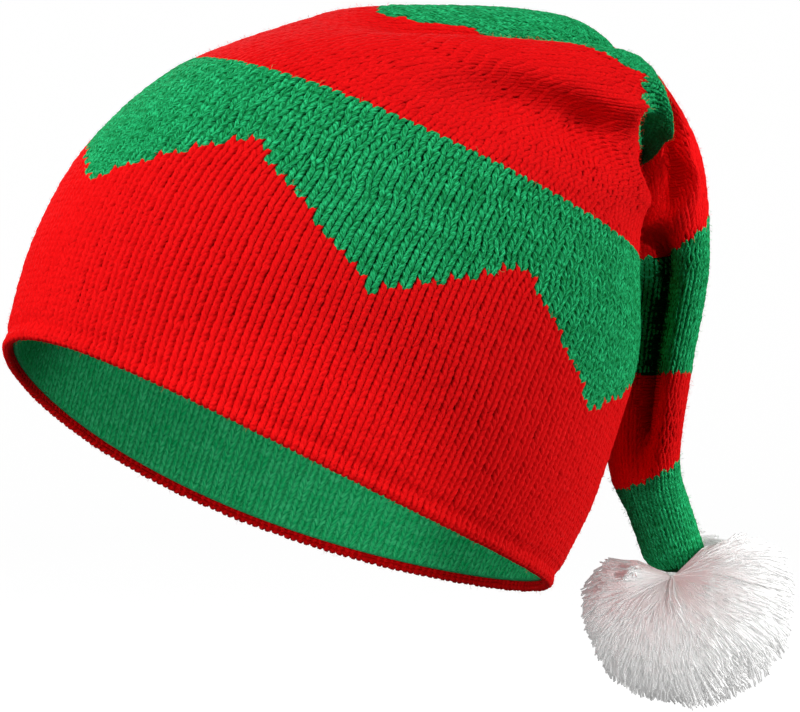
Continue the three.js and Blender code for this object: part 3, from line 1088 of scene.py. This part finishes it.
# Narrow spots, placed the same way: where each is, the place it is aimed at, its cone in degrees and power.
SPOTS = np.array(
    [
        ("lining_spot", 0.15, 1.5, -0.14, -0.06, -0.02, -0.055, 6.4, 25),
        ("tail_spot", 0.6, 1.5, 0.7, 0.097, -0.04, 0.058, 1.5, 60),
        ("pompom_spot", 0.6, 1.4, -0.02, 0.097, -0.06, -0.085, 4.0, 34),
    ],
    dtype=[
        ("name", "U12"),
        ("right", float),
        ("back", float),
        ("up", float),
        ("aim_right", float),
        ("aim_back", float),
        ("aim_up", float),
        ("cone", float),
        ("power", float),
    ],
)
SPOT_SOFT = 0.008
SPOT_BLEND = 0.5
ROOM_LIGHT = 0.02
ROOM_COLOUR = (0.98, 0.99, 1.0)


def paper_material():
    """Pale paper with a faint grain, that shows a little brighter to the camera than it lights the hat."""
    material, tree, shader = start_material("pale_paper", roughness=0.9, gloss=0.1)
    place = tree.nodes.new("ShaderNodeTexCoord")
    grain = tree.nodes.new("ShaderNodeTexNoise")
    grain.inputs["Scale"].default_value = 2.0
    tree.links.new(place.outputs["Object"], grain.inputs["Vector"])
    tone = colour_node(tree, grain.outputs["Fac"], PAPER_DEEP, PAPER_LIGHT)
    tree.links.new(tone, shader.inputs["Base Color"])
    seen = tree.nodes.new("ShaderNodeLightPath")
    glow = math_node(tree, "MULTIPLY", seen.outputs["Is Camera Ray"], PAPER_GLOW)
    shader.inputs["Emission Color"].default_value = (1.0, 1.0, 1.0, 1)
    tree.links.new(glow, shader.inputs["Emission Strength"])
    return material


def studio():
    """A pale floor that curves up into a round wall, far enough out to stand behind the hat from any side:
    a flat, a quarter round and an upright, spun about the hat and closed in the middle."""
    bend = np.linspace(0, np.pi / 2, 17)
    radius = np.concatenate(
        [FLOOR_RINGS, FLOOR_FLAT + FLOOR_CURVE * np.sin(bend), [FLOOR_FLAT + FLOOR_CURVE]]
    )
    height = np.concatenate(
        [np.zeros(len(FLOOR_RINGS)), FLOOR_CURVE * (1 - np.cos(bend)), [FLOOR_CURVE + WALL_TOP]]
    )
    around = np.linspace(0, 2 * np.pi, FLOOR_TURNS, endpoint=False)
    ring = np.stack([np.cos(around), np.sin(around), 0 * around], axis=-1)
    points = radius[:, None, None] * ring + (height + FLOOR_Z)[:, None, None] * UP
    points = np.concatenate([points.reshape(-1, 3), [FLOOR_Z * UP]])
    faces = grid_faces(len(radius), FLOOR_TURNS, True)[:, ::-1].tolist()
    faces = faces + pole_faces(np.arange(FLOOR_TURNS), len(points) - 1).tolist()
    mesh = bpy.data.meshes.new("studio_floor")
    mesh.from_pydata(points.tolist(), [], faces)
    mesh.polygons.foreach_set("use_smooth", np.ones(len(mesh.polygons), bool))
    mesh.materials.append(paper_material())
    floor = bpy.data.objects.new("studio_floor", mesh)
    bpy.context.scene.collection.objects.link(floor)


def from_aim(right, back, up):
    """A place given from the aim: along the view's right, towards the camera and up."""
    return AIM + RIGHT * right + BACK * back + UP * up


def look_turn(place, aim):
    """The turn that points a lamp's or camera's own -Z from a place to an aim, with its Y upwards."""
    x, y, z = aim - place
    return (np.pi / 2 + np.arctan2(z, np.hypot(x, y)), 0.0, np.arctan2(-x, y))


def place_lamp(light, row, aim):
    """A lamp put at its row's place and turned to an aim."""
    lamp = bpy.data.objects.new(light.name, light)
    bpy.context.scene.collection.objects.link(lamp)
    place = from_aim(row["right"], row["back"], row["up"])
    lamp.location = place
    lamp.rotation_euler = look_turn(place, aim)


def lights():
    """The soft boxes, each turned to the hat, the spots and the room's own pale light."""
    for row in LIGHTS:
        light = bpy.data.lights.new(str(row["name"]), "AREA")
        light.shape = "SQUARE"
        light.size = row["size"]
        light.energy = row["power"]
        place_lamp(light, row, AIM)
    for row in SPOTS:
        light = bpy.data.lights.new(str(row["name"]), "SPOT")
        light.energy = row["power"]
        light.spot_size = np.radians(row["cone"])
        light.spot_blend = SPOT_BLEND
        light.shadow_soft_size = SPOT_SOFT
        place_lamp(light, row, from_aim(row["aim_right"], row["aim_back"], row["aim_up"]))
    world = bpy.data.worlds.new("room")
    world.use_nodes = True
    background = world.node_tree.nodes["Background"]
    background.inputs["Color"].default_value = (*ROOM_COLOUR, 1)
    background.inputs["Strength"].default_value = ROOM_LIGHT
    bpy.context.scene.world = world
    bpy.context.scene.view_settings.view_transform = "Standard"


def camera():
    """The photograph's own view: level, from the wearer's left and a little in front."""
    data = bpy.data.cameras.new("camera")
    data.sensor_width = SENSOR_MM
    data.lens = SENSOR_MM * VIEW_DISTANCE / VIEW_WIDTH
    data.clip_end = 50.0
    eye = bpy.data.objects.new("camera", data)
    bpy.context.scene.collection.objects.link(eye)
    eye.location = from_aim(0.0, VIEW_DISTANCE, 0.0)
    eye.rotation_euler = look_turn(from_aim(0.0, VIEW_DISTANCE, 0.0), AIM)
    bpy.context.scene.camera = eye


# Put together
knit_pieces = stripe_pieces()
wall = knit_wall()
band = lining_band()
band_stitches = lining_stitches()
pompom_strands()
pompom_heart()

studio()
lights()
camera()
